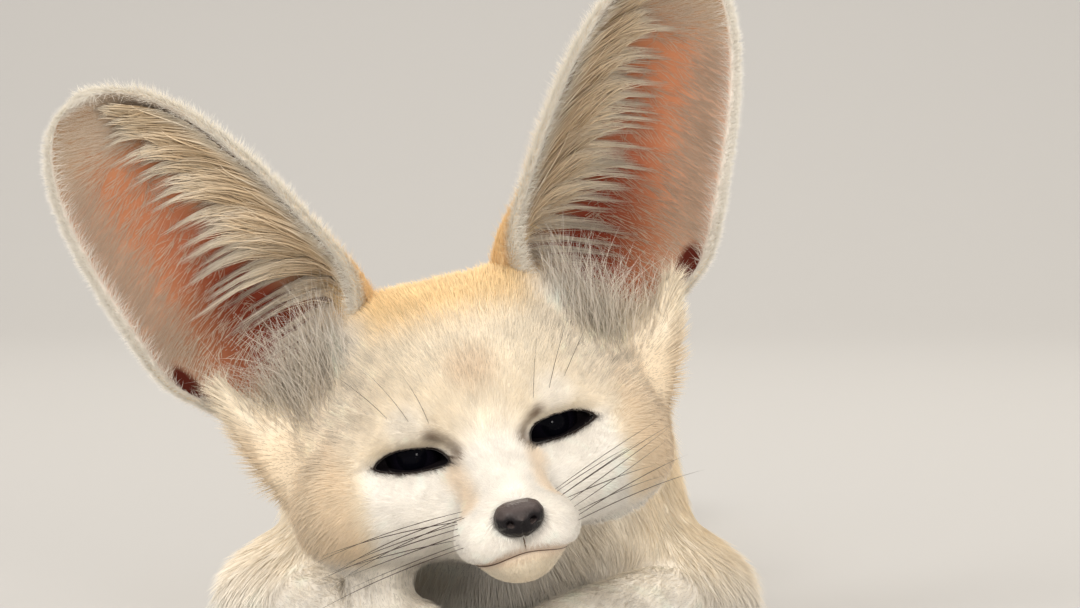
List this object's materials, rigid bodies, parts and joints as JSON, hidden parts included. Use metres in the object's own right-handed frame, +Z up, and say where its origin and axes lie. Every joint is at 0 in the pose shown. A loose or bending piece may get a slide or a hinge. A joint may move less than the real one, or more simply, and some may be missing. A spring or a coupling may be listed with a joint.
{
  "type": "fennec fox",
  "caption": "Small desert fox at rest, very large upright ears, chin on its outstretched forelegs, bushy tail laid out behind.",
  "frame": {"origin": "middle of the bottom of the whole box, on the floor that the fox lies on", "axes": "+Z up, +Y from the nose towards the tail, +X towards the fox's left side"},
  "size_m": [0.1782, 0.5358, 0.178],
  "materials": {
    "coat": "soft dense fur, pale sand above and white below",
    "tail_tip": "soft long fur, black-brown",
    "ears": "thin warm skin with sparse long hair inside",
    "eyes": "wet, very dark brown",
    "nose": "moist black, finely grained"
  },
  "bodies": {
    "root": {"head": "coat", "neck": "coat", "torso": "coat", "upper_arm_left": "coat", "upper_arm_right": "coat", "forearm_left": "coat", "forearm_right": "coat", "forepaw_left": "coat", "forepaw_right": "coat", "thigh_left": "coat", "thigh_right": "coat", "hind_foot_left": "coat", "hind_foot_right": "coat", "hind_paw_left": "coat", "hind_paw_right": "coat", "tail": "coat", "tail_tip": "tail_tip", "ear_left": "ears", "ear_right": "ears", "eye_left": "eyes", "eye_right": "eyes", "nose": "nose"}
  },
  "joints": []
}
